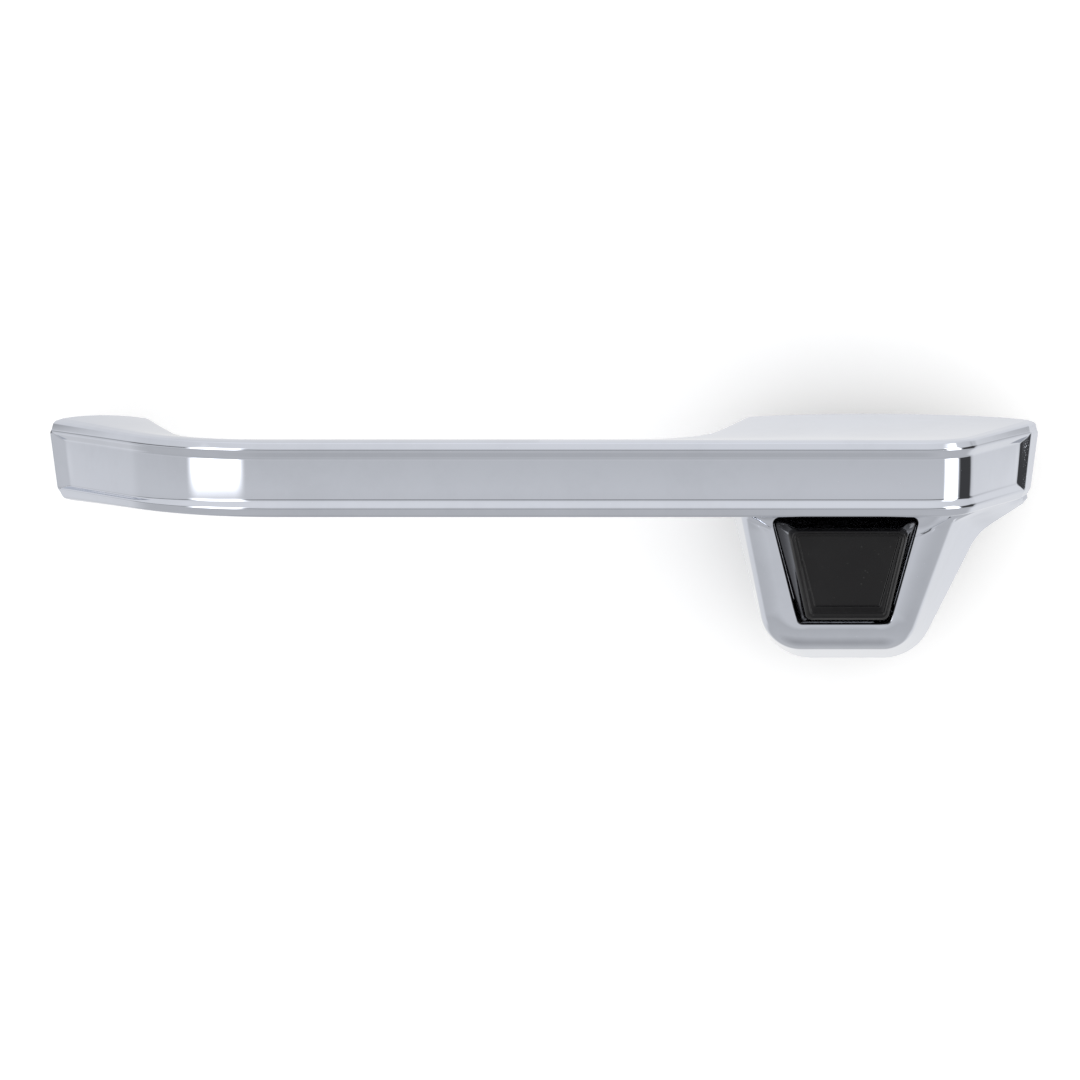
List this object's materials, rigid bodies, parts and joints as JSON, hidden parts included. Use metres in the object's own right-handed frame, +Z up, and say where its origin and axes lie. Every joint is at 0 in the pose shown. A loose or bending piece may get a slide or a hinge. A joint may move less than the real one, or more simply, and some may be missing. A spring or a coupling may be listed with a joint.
{
  "type": "vehicle door pull handle with push button",
  "caption": "Chromed die-cast exterior door pull handle: long grip bar with a framed, recessed front panel, a foot at each end and a black push button in a lobe below the larger foot.",
  "frame": {"origin": "back face of the button-end gasket, on the door skin's plane, on the button's centre line and at the bar's mid-height", "axes": "+X along the bar towards the button end, +Y into the door, +Z up as fitted"},
  "size_m": [0.24, 0.0605, 0.0601],
  "materials": {
    "chrome": "mirror-bright plating on a die-casting",
    "button_black": "glossy sides, satin face",
    "steel": "turned, lightly oiled",
    "zinc_plate": "bright zinc plate",
    "rubber": "matte moulded",
    "nylon": "natural, unfilled"
  },
  "bodies": {
    "handle": {"handle_casting": "chrome", "plunger_guide_bush": "nylon", "button_return_spring": "steel", "spring_seat_washer": "zinc_plate", "button_end_mounting_screw": "zinc_plate", "button_end_lock_washer": "zinc_plate", "button_end_flat_washer": "zinc_plate", "front_mounting_screw": "zinc_plate", "front_lock_washer": "zinc_plate", "front_flat_washer": "zinc_plate", "shaft_seal_ring": "rubber", "button_seal": "rubber", "button_end_gasket": "rubber", "front_gasket": "rubber"},
    "button": {"push_button": "button_black", "button_plunger": "steel", "plunger_cross_pin": "steel", "plunger_washer": "zinc_plate", "retaining_clip": "steel", "adjusting_screw": "zinc_plate", "adjusting_jam_nut": "zinc_plate"}
  },
  "joints": [
    {"name": "button_press", "type": "slide", "parent": "handle", "child": "button", "axis": [0, 1, 0], "range_m": [0, 0.008], "stiffness_N_per_m": 800, "springref_m": -0.006, "deforming": ["button_return_spring"]}
  ]
}
